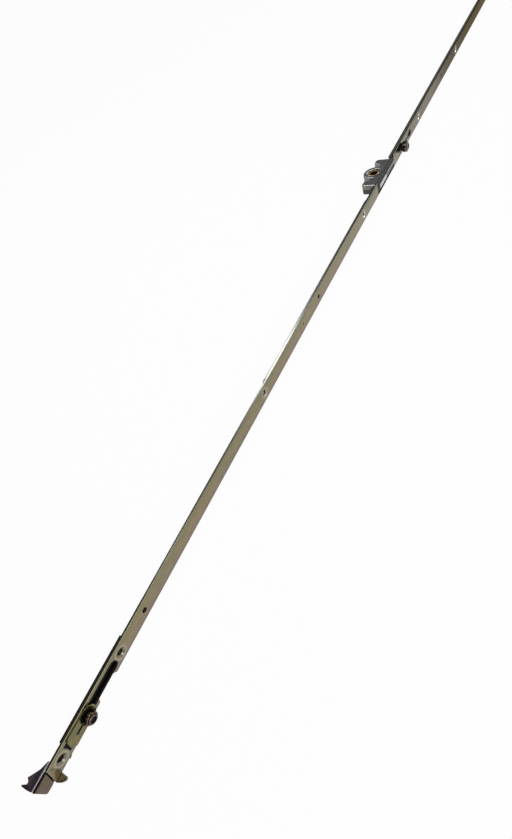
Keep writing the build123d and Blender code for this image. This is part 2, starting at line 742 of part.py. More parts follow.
with BuildPart() as upper_cam_pin:
    with BuildSketch(rod_back_plane):
        with Locations((upper_cam_y, 0)):
            Circle(cam_rivet_radius)
    extrude(amount=rod_thickness)
    with BuildSketch(face_back_plane):
        with Locations((upper_cam_y, 0)):
            Circle(cam_neck_radius)
    extrude(amount=upper_head_x - face_back_x)
    with BuildSketch(plane_at(upper_head_x)):
        with Locations((upper_cam_y, 0)):
            Circle(upper_head_radius)
    extrude(amount=cam_head_thickness)
    head_rim = upper_cam_pin.edges().filter_by(GeomType.CIRCLE).group_by(Axis.X)[-1]
    fillet(head_rim, cam_rounding)
    with BuildSketch(plane_at(backset + upper_cam_reach)):
        with Locations((upper_cam_y, 0)):
            RegularPolygon(upper_key_size / 2, 6, major_radius=False)
    extrude(amount=-cam_key_depth, mode=Mode.SUBTRACT)
upper_cam_pin.part.label = "upper_cam_pin"

# End bracket: a folded sheet whose front layer continues the faceplate, with a web folded back
# from its left edge, and a tab and an ear folded forward from its right edge
with BuildPart() as end_bracket:
    bracket_back_x = face_back_x - bracket_thickness
    bracket_top_y = face_bottom_y + bracket_overlap
    web_top_y = bracket_bottom_y + bracket_web_rise
    left_z = face_width / 2
    with BuildSketch(plane_at(bracket_back_x)):
        with Locations((bracket_bottom_y, 0)):
            Rectangle(web_top_y - bracket_bottom_y, face_width, align=(Align.MIN, Align.CENTER))
        with Locations((web_top_y, -left_z)):
            Rectangle(
                bracket_top_y - web_top_y, face_width - bracket_edge_inset, align=(Align.MIN, Align.MIN)
            )
    extrude(amount=bracket_thickness)
    with BuildSketch(Plane.XY.offset(left_z)):
        with BuildLine():
            Polyline(
                (face_back_x, bracket_bottom_y),
                (face_back_x, web_top_y),
                *[(face_back_x - behind, bracket_bottom_y + up) for behind, up in bracket_web_profile],
                close=True,
            )
        make_face()
    extrude(amount=-bracket_thickness)
    bend_edge = end_bracket.edges().filter_by(Axis.Y).group_by(Axis.X)[-1].sort_by(Axis.Z)[-1]
    fillet(bend_edge, bracket_bend_radius)
    with BuildSketch(face_back_plane) as front_layer:
        # Its upper edge runs beside the faceplate's slanted end
        right_z = -left_z + bracket_front_inset
        slant = face_end_skew / left_z
        Polygon(
            (bracket_bottom_y, left_z),
            (face_bottom_y + slant * left_z - bracket_front_gap, left_z),
            (face_bottom_y + slant * right_z - bracket_front_gap, right_z),
            (bracket_bottom_y, right_z),
            align=None,
        )
        fillet(front_layer.vertices().group_by(Axis.Y)[0], bracket_corner_radius)
    extrude(amount=bracket_thickness)
    fillet(end_bracket.faces().sort_by(Axis.X)[-1].edges(), bracket_rim_rounding)
    with BuildSketch(Plane.XY.offset(-left_z)):
        tab_bottom_y = bracket_bottom_y + bracket_tab_rise
        tab_top_y = tab_bottom_y + bracket_tab_length
        tab_tip_x = backset + bracket_tab_reach
        Polygon(
            (bracket_back_x, tab_bottom_y),
            (bracket_back_x, tab_top_y),
            (tab_tip_x, tab_top_y),
            (tab_tip_x, tab_top_y - bracket_tab_tip),
            (backset + bracket_tab_heel, tab_bottom_y + bracket_heel_rise),
            (backset, tab_bottom_y),
            align=None,
        )
        ear_bottom_y = bracket_bottom_y + bracket_ear_rise
        ear_front_x = face_back_x + bracket_thickness
        Polygon(
            (bracket_back_x, ear_bottom_y),
            (bracket_back_x, ear_bottom_y + bracket_ear_length),
            (face_back_x, ear_bottom_y + bracket_ear_length),
            (ear_front_x, ear_bottom_y + bracket_ear_tip),
            (ear_front_x, ear_bottom_y),
            align=None,
        )
    extrude(amount=-bracket_thickness)
    tab_corners = end_bracket.edges().filter_by(Axis.Z).group_by(Axis.X)[-1]
    fillet(tab_corners, bracket_tab_rounding)
    bend_edges = end_bracket.edges().filter_by(Axis.Y).group_by(Axis.Z)[0].group_by(Axis.X)[0]
    fillet(bend_edges, bracket_tab_bend)
    with BuildSketch(face_back_plane):
        with Locations((face_bottom_y + bracket_rivet_rise, 0)):
            with GridLocations(1, bracket_rivet_spacing, 1, 2):
                Circle(bracket_rivet_radius)
        with Locations((end_screw_y, 0)):
            Circle(screw_hole_radius)
    extrude(amount=-bracket_thickness, mode=Mode.SUBTRACT)
end_bracket.part.label = "end_bracket"

# Rivets of the end bracket, flush with the faceplate's front and the bracket's back
with BuildPart() as bracket_rivets:
    with BuildSketch(front_plane):
        with Locations((face_bottom_y + bracket_rivet_rise, 0)):
            with GridLocations(1, bracket_rivet_spacing, 1, 2):
                Circle(bracket_rivet_radius)
    extrude(amount=-face_thickness - bracket_thickness)
bracket_rivets.part.label = "bracket_rivets"

pieces = [
    faceplate,
    case_upper,
    case_lower,
    case_rivets,
    follower_pinion,
    rack,
    lower_rod,
    middle_rod,
    upper_rod,
    rack_rivets,
    lap_rivets,
    rod_guides,
    carriage_tray,
    carriage_plate,
    lower_cam_washer,
    lower_cam_roller,
    lower_cam_pin,
    upper_cam_collar,
    upper_cam_roller,
    upper_cam_pin,
    end_bracket,
    bracket_rivets,
]
os.makedirs("parts", exist_ok=True)
for piece in pieces:
    export_step(piece.part, f"parts/{piece.part.label}.step")
    print(piece.part.label, round(piece.part.volume, 1))
print("stroke", round(stroke, 3), "turn", round(degrees(stroke / pitch_radius), 1))
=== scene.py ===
from math import cos, pi, radians, sin

import bmesh
import bpy
from mathutils import Matrix, Vector


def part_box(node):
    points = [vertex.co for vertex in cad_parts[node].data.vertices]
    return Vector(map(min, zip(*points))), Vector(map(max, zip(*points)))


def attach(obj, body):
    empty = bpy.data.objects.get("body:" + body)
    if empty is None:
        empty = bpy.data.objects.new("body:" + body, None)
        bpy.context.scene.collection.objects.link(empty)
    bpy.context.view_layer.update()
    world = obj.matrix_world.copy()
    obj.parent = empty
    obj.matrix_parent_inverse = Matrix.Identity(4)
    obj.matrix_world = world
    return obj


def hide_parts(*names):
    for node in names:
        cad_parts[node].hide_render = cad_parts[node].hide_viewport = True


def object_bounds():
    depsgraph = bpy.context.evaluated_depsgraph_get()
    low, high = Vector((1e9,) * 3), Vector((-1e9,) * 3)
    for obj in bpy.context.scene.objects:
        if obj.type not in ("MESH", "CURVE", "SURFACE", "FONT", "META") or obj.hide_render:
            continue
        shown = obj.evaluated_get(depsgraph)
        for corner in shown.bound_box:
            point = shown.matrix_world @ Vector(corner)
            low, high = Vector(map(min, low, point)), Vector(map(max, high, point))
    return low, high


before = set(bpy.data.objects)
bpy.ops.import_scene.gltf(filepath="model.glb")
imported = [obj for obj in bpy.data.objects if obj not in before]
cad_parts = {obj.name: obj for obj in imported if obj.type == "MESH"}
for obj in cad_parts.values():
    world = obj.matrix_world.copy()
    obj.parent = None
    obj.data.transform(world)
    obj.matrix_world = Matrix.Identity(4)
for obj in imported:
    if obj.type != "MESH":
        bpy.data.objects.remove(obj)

cad_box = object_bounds()

# Faceplate. A rolled steel strip with rounded front edges, with holes, a slot, a window and
# a notch punched through it. Its zinc plating is yellow chromated, which leaves an olive film
# that turns pinkish across the strip. The film and its reflection are painted darker towards
# the far end, as painted shade.
film_left = (0.262, 0.245, 0.142)
film_middle = (0.330, 0.262, 0.158)
film_right = (0.325, 0.252, 0.200)
film_green = (0.225, 0.245, 0.160)
film_wear_and_glint = (0.55, 0.55, 0.47)
right_shade = (0.76, 0.78, 0.79)
left_shade = (0.62, 0.63, 0.66)
side_painted_glint = (0.56, 0.555, 0.535)
side_painted_shade = (0.13, 0.125, 0.12)
hole_painted_glint = (0.62, 0.61, 0.55)
hole_glint_dim = (0.26, 0.25, 0.20)
painted_hole_shade = (0.020, 0.017, 0.014)
hole_reach = 0.0048
hole_sink = 0.0002
hole_deep = 0.0013
hole_glint_ys = (-0.62, -0.1)
side_start = 0.0005
right_shade_z = -0.0052
left_shade_zs = (0.0030, 0.0052)
left_shade_low_ys = (-0.11, -0.06)
left_shade_high_ys = (0.19, 0.15)
cam_slot_low_y = 0.0683
cam_slot_high_y = 0.1163
cam_slot_edge_z = 0.0041
edge_blur = 0.0001
long_blur = 0.001
worn_ys = (-0.06, 0.02)
strip_low, strip_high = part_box("faceplate")
strip_front = strip_high.x
strip_back = strip_low.x


def node(tree, kind, sockets=(), **settings):
    """A node of a tree, with its inputs set to values or joined to other sockets."""
    made = tree.nodes.new(kind)
    for name, value in settings.items():
        setattr(made, name, value)
    for key, value in dict(sockets).items():
        if isinstance(value, bpy.types.NodeSocket):
            tree.links.new(value, made.inputs[key])
        else:
            made.inputs[key].default_value = value
    return made


def ramp(tree, factor, *stops):
    """A colour ramp over a factor, from (position, colour) stops."""
    made = node(tree, "ShaderNodeValToRGB", {"Fac": factor})
    elements = made.color_ramp.elements
    while len(elements) < len(stops):
        elements.new(0.5)
    for element, (position, colour) in zip(elements, stops):
        element.position = position
        element.color = (*colour, 1)
    return made.outputs["Color"]


def noise(tree, stretch, scale, detail=3.0, roughness=0.55, distortion=0.0):
    """Noise over the object's own coordinates, stretched by three factors."""
    place = node(tree, "ShaderNodeTexCoord").outputs["Object"]
    placed = node(tree, "ShaderNodeMapping", {"Vector": place, "Scale": stretch})
    values = {"Vector": placed.outputs["Vector"], "Scale": scale, "Detail": detail,
              "Roughness": roughness, "Distortion": distortion}
    return node(tree, "ShaderNodeTexNoise", values).outputs["Fac"]


def limits(tree, value, low, high):
    """A factor from 0 to 1 as a value goes from one limit to the other."""
    values = {"Value": value, "From Min": low, "From Max": high}
    return node(tree, "ShaderNodeMapRange", values).outputs["Result"]


def coordinate(tree, axis):
    """The object's own coordinate on one axis."""
    place = node(tree, "ShaderNodeTexCoord").outputs["Object"]
    return node(tree, "ShaderNodeSeparateXYZ", {"Vector": place}).outputs[axis]


def along(tree, axis, low, high):
    """A factor from 0 to 1 between two places on one of the object's axes."""
    return limits(tree, coordinate(tree, axis), low, high)


def spread(tree, factor, low, high):
    """A factor that runs from 0 to 1, spread over a range of values."""
    values = {"Value": factor, "To Min": low, "To Max": high}
    return node(tree, "ShaderNodeMapRange", values).outputs["Result"]


def worked(tree, operation, first, second):
    """The result of an operation on two values or sockets."""
    return node(tree, "ShaderNodeMath", {0: first, 1: second}, operation=operation).outputs[0]


def together(tree, first, *others):
    """The product of several factors."""
    for other in others:
        first = worked(tree, "MULTIPLY", first, other)
    return first


def away_from(tree, axis, middle=0.0):
    """How far a point is from a place on one of the object's axes, on either side."""
    return worked(tree, "ABSOLUTE", worked(tree, "SUBTRACT", coordinate(tree, axis), middle), 0.0)


def from_axis(tree, centre, kept):
    """How far a point is from a centre, counting only the directions kept."""
    place = node(tree, "ShaderNodeTexCoord").outputs["Object"]
    location = tuple(-value for value in centre)
    moved = node(tree, "ShaderNodeMapping", {"Vector": place, "Location": location, "Scale": kept})
    return node(
        tree, "ShaderNodeVectorMath", {0: moved.outputs["Vector"]}, operation="LENGTH"
    ).outputs["Value"]


def blended(tree, factor, first, second, kind="MIX"):
    """One colour laid over another by a factor."""
    made = node(tree, "ShaderNodeMix", data_type="RGBA", blend_type=kind)
    for socket, value in ((made.inputs[0], factor), (made.inputs[6], first), (made.inputs[7], second)):
        if isinstance(value, bpy.types.NodeSocket):
            tree.links.new(value, socket)
        else:
            socket.default_value = (*value, 1) if isinstance(value, tuple) else value
    return made.outputs[2]


def edge_wear(tree, radius, low, high):
    """How near a surface is to an edge, from 0 to 1."""
    rounded = node(tree, "ShaderNodeBevel", {"Radius": radius}, samples=8).outputs["Normal"]
    straight = node(tree, "ShaderNodeNewGeometry").outputs["Normal"]
    turn = node(tree, "ShaderNodeVectorMath", {0: rounded, 1: straight}, operation="DOT_PRODUCT")
    return limits(tree, turn.outputs["Value"], 1 - low, 1 - high)


def new_material(name, metallic=1.0):
    """A node material with a principled shader."""
    material = bpy.data.materials.new(name)
    material.use_nodes = True
    tree = material.node_tree
    tree.nodes.clear()
    shader = node(tree, "ShaderNodeBsdfPrincipled", {"Metallic": metallic})
    node(tree, "ShaderNodeOutputMaterial", {"Surface": shader.outputs["BSDF"]})
    return material, tree, shader


def relief(tree, shader, height, strength, distance):
    """Fine relief on a shader, from a height."""
    values = {"Height": height, "Strength": strength, "Distance": distance}
    made = node(tree, "ShaderNodeBump", values)
    tree.links.new(made.outputs["Normal"], shader.inputs["Normal"])


def chromate_film(tree, low_z, high_z):
    """The film's colours across a strip, drifting along it."""
    drift = spread(tree, noise(tree, (1, 0.07, 0.4), 90, 2.0, 0.5), -0.35, 0.35)
    place = worked(tree, "ADD", along(tree, "Z", low_z, high_z), drift)
    film = ramp(tree, place, (0.1, film_right), (0.5, film_middle), (0.85, film_left))
    veil = noise(tree, (1, 0.12, 0.5), 150, 3.0, 0.55, 0.4)
    green = ramp(tree, veil, (0.52, (0, 0, 0)), (0.74, (0.6, 0.6, 0.6)))
    tinted = blended(tree, green, film, film_green)
    cloud = noise(tree, (1, 0.3, 1), 320, 4.0, 0.6)
    shade = ramp(tree, cloud, (0.3, (0.88, 0.885, 0.89)), (0.7, (1.06, 1.05, 1.04)))
    return blended(tree, 1.0, tinted, shade, "MULTIPLY")


def rolled(tree, shader, colour, rough_low, rough_high, grain, worn_share=1.0):
    """Gives a shader a colour that is worn at the edges, and fine lengthwise rolling marks."""
    wear = worked(tree, "MULTIPLY", edge_wear(tree, 0.0003, 0.03, 0.4), worn_share)
    tree.links.new(blended(tree, wear, colour, film_wear_and_glint), shader.inputs["Base Color"])
    streak = noise(tree, (1, 0.03, 1), 1500, 2.0, 0.5)
    tree.links.new(spread(tree, streak, rough_low, rough_high), shader.inputs["Roughness"])
    relief(tree, shader, streak, grain, 0.00002)


def finish(node_name, material):
    """Gives a node's solid its material."""
    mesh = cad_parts[node_name].data
    mesh.materials.clear()
    mesh.materials.append(material)


strip_finish, tree, shader = new_material("faceplate_chromate")
film = chromate_film(tree, strip_low.z, strip_high.z)
far = along(tree, "Y", 0.0, strip_high.y)
# Painted shade: the film is darkened towards the far end.
far_painted_shade = ramp(
    tree, far,
    (0.0, (1, 1, 1)), (0.12, (0.90, 0.88, 0.90)), (0.3, (0.76, 0.73, 0.74)), (0.55, (0.46, 0.43, 0.42)),
    (0.8, (0.42, 0.37, 0.26)),
)
film = blended(tree, 1.0, film, far_painted_shade, "MULTIPLY")
right_place = along(tree, "Z", strip_low.z, right_shade_z)
right_tone = ramp(tree, right_place, (0.2, right_shade), (1.0, (1, 1, 1)))
film = blended(tree, 1.0, film, right_tone, "MULTIPLY")
left_share = together(
    tree, along(tree, "Y", *left_shade_low_ys), along(tree, "Y", *left_shade_high_ys),
    along(tree, "Z", *left_shade_zs),
)
film = blended(tree, left_share, film, blended(tree, 1.0, film, left_shade, "MULTIPLY"))
sideways = away_from(tree, "Z")
# The strip's side is painted dark as painted shade, with a band of painted reflection along part of its
# length.
side = together(
    tree, limits(tree, sideways, strip_high.z - 2 * edge_blur, strip_high.z - edge_blur),
    along(tree, "X", strip_front - side_start + 2 * edge_blur, strip_front - side_start),
)
side_painted_light = ramp(
    tree, along(tree, "Y", strip_low.y, strip_high.y),
    (0.15, side_painted_shade), (0.22, side_painted_glint), (0.38, side_painted_glint), (0.48, side_painted_shade), (0.8, side_painted_shade),
)
film = blended(tree, side, film, side_painted_light)
# Painted highlight: the countersinks are painted silver, dimmer at the lowest holes.
near_hole = limits(tree, sideways, hole_reach + 2 * edge_blur, hole_reach)
sunk = together(tree, near_hole, along(tree, "X", strip_front - hole_sink / 4, strip_front - hole_sink))
film = blended(tree, sunk, film, blended(tree, along(tree, "Y", *hole_glint_ys), hole_glint_dim, hole_painted_glint))
# Painted shade deep inside the holes.
deep = together(
    tree, near_hole, along(tree, "X", strip_front - hole_deep + 3 * edge_blur, strip_front - hole_deep)
)
film = blended(tree, deep, film, painted_hole_shade)
# Painted shade: the reflection is dimmed towards the far end as well.
glance = ramp(
    tree, far,
    (0.14, (1, 1, 1)), (0.24, (0.82, 0.82, 0.82)), (0.34, (0.8, 0.8, 0.8)), (0.48, (0.57, 0.55, 0.53)),
    (0.75, (0.48, 0.44, 0.36)),
)
tree.links.new(glance, shader.inputs["Specular Tint"])
# Painted highlight: a bright line along one edge of the cam slot.
slot_edge_glint = together(
    tree, limits(tree, away_from(tree, "Z", cam_slot_edge_z), 4 * edge_blur, 3 * edge_blur),
    along(tree, "Y", cam_slot_low_y, cam_slot_low_y + long_blur),
    along(tree, "Y", cam_slot_high_y - 3 * long_blur, cam_slot_high_y - 6 * long_blur),
)
film = blended(tree, slot_edge_glint, film, film_wear_and_glint)
rolled(tree, shader, film, 0.14, 0.27, 0.1, spread(tree, along(tree, "Y", *worn_ys), 1.0, 0.1))
finish("faceplate", strip_finish)

# Screw seats. The strip is pressed in round each of the six screw holes, which leaves a low
# ring that catches the light round the countersink. They are part of the strip's steel.
screw_rises = (0.011, 0.0841, 0.340, 0.6332, 0.8735, 1.0932)
seat_radius = 0.0053
seat_wire = 0.0006
seat_height_share = 0.075
seat_painted_glint = (0.42, 0.40, 0.30)
end_rise = 0.0026
sharp_angle = radians(35)


def new_tree(name, sizes):
    """A geometry tree that takes points and named sizes, with its modifier's settings."""
    tree = bpy.data.node_groups.new(name, "GeometryNodeTree")
    tree.interface.new_socket(name="Geometry", in_out="OUTPUT", socket_type="NodeSocketGeometry")
    tree.interface.new_socket(name="Points", in_out="INPUT", socket_type="NodeSocketGeometry")
    settings = {}
    for size_name, size in sizes.items():
        socket = tree.interface.new_socket(name=size_name, in_out="INPUT", socket_type="NodeSocketFloat")
        settings[socket.identifier] = size
    return tree, tree.nodes.new("NodeGroupInput").outputs, settings


def set_out(tree, points, shape, turn, material):
    """Ends a geometry tree: the shape at each point, made real and given its material."""
    placed = node(
        tree, "GeometryNodeInstanceOnPoints", {"Points": points, "Instance": shape, "Rotation": turn}
    )
    real = node(tree, "GeometryNodeRealizeInstances", {"Geometry": placed.outputs["Instances"]})
    smooth = node(tree, "GeometryNodeSetShadeSmooth", {"Geometry": real.outputs["Geometry"]})
    painted = node(
        tree, "GeometryNodeSetMaterial", {"Geometry": smooth.outputs["Geometry"], "Material": material}
    )
    tree.links.new(painted.outputs["Geometry"], tree.nodes.new("NodeGroupOutput").inputs[0])


def new_piece(name, mesh):
    """An object at the origin, holding a mesh."""
    piece = bpy.data.objects.new(name, mesh)
    bpy.context.scene.collection.objects.link(piece)
    return piece


def repeated(name, points, tree, settings):
    """The plain mesh that a geometry tree makes at these points, as a piece of its own."""
    marks = bpy.data.meshes.new(name + "_points")
    marks.from_pydata(points, [], [])
    piece = new_piece(name, marks)
    modifier = piece.modifiers.new("spread", "NODES")
    modifier.node_group = tree
    for identifier, size in settings.items():
        modifier[identifier] = size
    shown = piece.evaluated_get(bpy.context.evaluated_depsgraph_get())
    made = bpy.data.meshes.new_from_object(shown)
    piece.modifiers.remove(modifier)
    piece.data = made
    made.name = name
    made.set_sharp_from_angle(angle=sharp_angle)
    return piece


seat_finish, tree, shader = new_material("seat_chromate")
# The rings' film is painted lighter than the strip's, as a painted highlight.
rolled(tree, shader, blended(tree, noise(tree, (1, 1, 1), 700), seat_painted_glint, film_middle), 0.18, 0.32, 0.2)
tree, sizes, settings = new_tree(
    "pressed_rings",
    {"Ring radius": seat_radius, "Wire radius": seat_wire, "Height share": seat_height_share},
)
ring = node(tree, "GeometryNodeCurvePrimitiveCircle", {"Resolution": 48, "Radius": sizes["Ring radius"]})
wire = node(tree, "GeometryNodeCurvePrimitiveCircle", {"Resolution": 12, "Radius": sizes["Wire radius"]})
tube = node(
    tree, "GeometryNodeCurveToMesh",
    {"Curve": ring.outputs["Curve"], "Profile Curve": wire.outputs["Curve"]},
)
squash = node(tree, "ShaderNodeCombineXYZ", {"X": 1.0, "Y": 1.0, "Z": sizes["Height share"]})
flat = node(
    tree, "GeometryNodeTransform",
    {"Geometry": tube.outputs["Mesh"], "Scale": squash.outputs["Vector"]},
)
set_out(tree, sizes["Points"], flat.outputs["Geometry"], (0, pi / 2, 0), seat_finish)
end_middle_y = strip_low.y + end_rise
seat_points = [(strip_front, end_middle_y + rise, 0) for rise in screw_rises]
screw_seats = repeated("screw_seats", seat_points, tree, settings)
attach(screw_seats, "frame")

# End bracket. A sheet steel pressing under the strip's lower end: its front layer carries on
# from the strip, its web is folded back from the left edge, and a tab and an ear are folded
# forward on the right. It is chromated like the strip, with a purple film on the web that is
# painted dark as well, as painted shade. A painted highlight runs along the web's bend, and
# painted shade along the sheet's side edge in front of it.
web_film_and_shade = (0.120, 0.085, 0.115)
bracket_pink = (0.330, 0.225, 0.190)
ear_brown = (0.060, 0.042, 0.032)
tab_olive = (0.165, 0.140, 0.082)
bend_painted_highlight = (0.28, 0.255, 0.27)
bracket_dulling = (0.56, 0.54, 0.58)
rim_painted_shade = (0.022, 0.019, 0.018)
bracket_sheet = 0.0015
ear_length = 0.0075
bend_width = 0.0009
rim_width = 0.0012
merge_distance = 0.000002
crease_angle = radians(32)


def eased_copy(node_name, piece_name, body, material):
    """A node's solid as one joined mesh whose round stretches are shaded smooth, in its place."""
    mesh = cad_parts[node_name].data.copy()
    form = bmesh.new()
    form.from_mesh(mesh)
    bmesh.ops.remove_doubles(form, verts=form.verts, dist=merge_distance)
    bmesh.ops.dissolve_degenerate(form, edges=form.edges, dist=merge_distance / 2)
    form.to_mesh(mesh)
    form.free()
    mesh.name = piece_name
    mesh.shade_smooth()
    mesh.set_sharp_from_angle(angle=crease_angle)
    mesh.materials.clear()
    mesh.materials.append(material)
    piece = new_piece(piece_name, mesh)
    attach(piece, body)
    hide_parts(node_name)
    return piece


bracket_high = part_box("end_bracket")[1]
bracket_finish, tree, shader = new_material("bracket_chromate")
film = chromate_film(tree, strip_low.z, strip_high.z)
pinkish = ramp(tree, noise(tree, (1, 1, 1), 130, 2.0, 0.5), (0.45, (0, 0, 0)), (0.62, (0.8, 0.8, 0.8)))
film = blended(tree, 1.0, blended(tree, pinkish, film, bracket_pink), bracket_dulling, "MULTIPLY")
# The web behind the strip is painted dark: its purple film and painted shade.
behind = along(tree, "X", strip_back - 2 * edge_blur, strip_back - bracket_sheet - edge_blur)
film = blended(tree, behind, film, web_film_and_shade)
ear_share = together(
    tree, along(tree, "Z", strip_low.z + 2 * edge_blur, strip_low.z + edge_blur),
    along(tree, "Y", bracket_high.y - ear_length, bracket_high.y - ear_length + long_blur),
)
film = blended(tree, ear_share, film, ear_brown)
on_tab = along(tree, "X", strip_front + edge_blur, strip_front + 4 * edge_blur)
film = blended(tree, on_tab, film, tab_olive)
sheet_back_x = strip_back - bracket_sheet
# Painted highlight along the web's bend.
bend = together(
    tree, along(tree, "Z", strip_high.z - bend_width, strip_high.z - bend_width + 4 * edge_blur),
    along(tree, "X", sheet_back_x, sheet_back_x + 3 * edge_blur),
)
film = blended(tree, bend, film, bend_painted_highlight)
# Painted shade along the sheet's side edge in front of the bend.
rim = together(
    tree, along(tree, "Z", strip_high.z - rim_width, strip_high.z - rim_width + 3 * edge_blur),
    along(tree, "X", strip_back, strip_back + edge_blur),
)
film = blended(tree, rim, film, rim_painted_shade)
rolled(tree, shader, film, 0.16, 0.28, 0.2)
eased_copy("end_bracket", "end_bracket_sheet", "frame", bracket_finish)

# Screw collar of the bracket. The sheet is drawn through to a short collar behind, where the
# lowest screw passes, painted dark all over as painted shade behind the sheet.
collar_bore = 0.0023
collar_wall = 0.0009
collar_depth = 0.0020
collar_end_wall = collar_wall * 0.7
collar_y = end_middle_y + screw_rises[0]
collar_finish, tree, shader = new_material("collar_chromate")
rolled(tree, shader, blended(tree, noise(tree, (1, 1, 1), 900), painted_hole_shade, ear_brown), 0.3, 0.5, 0.2)


def turned(name, place, profile, segments, material):
    """A piece turned round a line along X, from (reach behind, radius) points in order."""
    vertices = []
    for k in range(segments):
        angle = 2 * pi * k / segments
        for back, radius in profile:
            outward = Vector((-back, radius * cos(angle), radius * sin(angle)))
            vertices.append(place + outward)
    count = len(profile)
    faces = []
    for k in range(segments):
        near = k * count
        far_side = (k + 1) % segments * count
        for m in range(count):
            following = (m + 1) % count
            faces.append((near + m, near + following, far_side + following, far_side + m))
    mesh = bpy.data.meshes.new(name)
    mesh.from_pydata(vertices, [], faces)
    mesh.shade_smooth()
    mesh.set_sharp_from_angle(angle=sharp_angle)
    mesh.materials.append(material)
    return new_piece(name, mesh)


bracket_collar = turned(
    "bracket_collar", Vector((sheet_back_x, collar_y, 0)),
    ((0, collar_bore), (0, collar_bore + collar_wall),
     (collar_depth, collar_bore + collar_end_wall), (collar_depth, collar_bore)),
    48, collar_finish,
)
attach(bracket_collar, "frame")

# Rivets of the end bracket. Two steel rivets, hammered flush with the strip and the sheet, and
# chromated with them.
finish("bracket_rivets", bracket_finish)

# Carriage tray. A black injection moulded guide, pushed into the window from behind: its plug
# fills the window, its flange lies on the strip's back, and the rod slides in its channel.
black_colour = (0.0045, 0.004, 0.004)
black_worn = (0.012, 0.010, 0.010)
black_gloss = 0.05
black_finish, tree, shader = new_material("black_plastic", metallic=0.0)
cloud = noise(tree, (1, 0.2, 1), 700, 4.0, 0.6)
tree.links.new(ramp(tree, cloud, (0.35, black_colour), (0.7, black_worn)), shader.inputs["Base Color"])
tree.links.new(spread(tree, cloud, 0.38, 0.56), shader.inputs["Roughness"])
shader.inputs["Specular IOR Level"].default_value = black_gloss
relief(tree, shader, noise(tree, (1, 1, 1), 5200, 2.0), 0.25, 0.00003)
finish("carriage_tray", black_finish)

# Carriage plate. A stamped steel plate that slides over the window, with a slit, and with a
# neck that reaches through the tray to the lower rod. Its thick chromate is yellow and teal.
carriage_olive = (0.250, 0.215, 0.085)
carriage_teal = (0.130, 0.175, 0.120)
carriage_copper = (0.300, 0.190, 0.100)
slit_y = -0.6876
slit_z = 0.0003
slit_half_length = 0.0034
slit_half_width = 0.0010
carriage_finish, tree, shader = new_material("carriage_chromate")
swirl = noise(tree, (1, 0.55, 1), 190, 3.0, 0.5, 1.4)
film = ramp(
    tree, swirl,
    (0.32, carriage_copper), (0.45, carriage_olive), (0.56, carriage_teal), (0.68, carriage_olive),
)
# Painted shade in and round the slit.
slit_painted_shade = together(
    tree, limits(tree, away_from(tree, "Z", slit_z), slit_half_width + 4 * edge_blur, slit_half_width),
    limits(tree, away_from(tree, "Y", slit_y), slit_half_length + 4 * edge_blur, slit_half_length),
)
film = blended(tree, slit_painted_shade, film, painted_hole_shade)
rolled(tree, shader, film, 0.2, 0.36, 0.2)
eased_copy("carriage_plate", "carriage_slide", "drive", carriage_finish)

# Lower cam. A knurled washer, a roller that turns, and the pin through both, turned from
# steel and riveted through the carriage's neck. The pin has a six-sided key socket.
cam_dark = (0.020, 0.015, 0.013)
cam_brown = (0.085, 0.062, 0.046)
cam_pink = (0.230, 0.155, 0.120)
socket_painted_shade = (0.008, 0.007, 0.007)
lower_socket_radius = 0.0026
foot_shade_depth = 0.003


def turned_steel(name, centre_y, socket_radius, end_x, dark, brown, light):
    """Turned and chromated steel: bands round the axis, painted shade towards the foot, and a socket painted
    dark as painted shade.
    """
    material, tree, shader = new_material(name)
    reach = from_axis(tree, (0, centre_y, 0), (0, 1, 1))
    bands = noise(tree, (1, 0.02, 0.02), 900, 2.0, 0.5)
    patches = noise(tree, (1, 1, 1), 260, 3.0, 0.55)
    banded = worked(tree, "MULTIPLY", bands, 0.25)
    mixture = worked(tree, "ADD", banded, worked(tree, "MULTIPLY", patches, 0.75))
    # Painted shade: the steel is darker towards the foot and lighter at the end.
    foot_shade_ramp = spread(tree, along(tree, "X", end_x - foot_shade_depth, end_x), -0.1, 0.1)
    film = ramp(tree, worked(tree, "ADD", mixture, foot_shade_ramp), (0.4, dark), (0.54, brown), (0.68, light))
    # Painted shade inside the key socket.
    in_socket = limits(tree, reach, socket_radius + 2 * edge_blur, socket_radius)
    film = blended(tree, in_socket, film, socket_painted_shade)
    tree.links.new(film, shader.inputs["Base Color"])
    tree.links.new(spread(tree, mixture, 0.14, 0.3), shader.inputs["Roughness"])
    relief(tree, shader, bands, 0.15, 0.00004)
    return material


lower_cam_low, lower_cam_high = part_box("lower_cam_roller")
lower_cam_y = (lower_cam_low.y + lower_cam_high.y) / 2
lower_cam_finish = turned_steel(
    "lower_cam_chromate", lower_cam_y, lower_socket_radius, lower_cam_high.x,
    cam_dark, cam_brown, cam_pink,
)
eased_copy("lower_cam_washer", "lower_cam_knurl", "drive", lower_cam_finish)
eased_copy("lower_cam_roller", "lower_cam_wheel", "lower_roller", lower_cam_finish)
eased_copy("lower_cam_pin", "lower_cam_stud", "drive", lower_cam_finish)

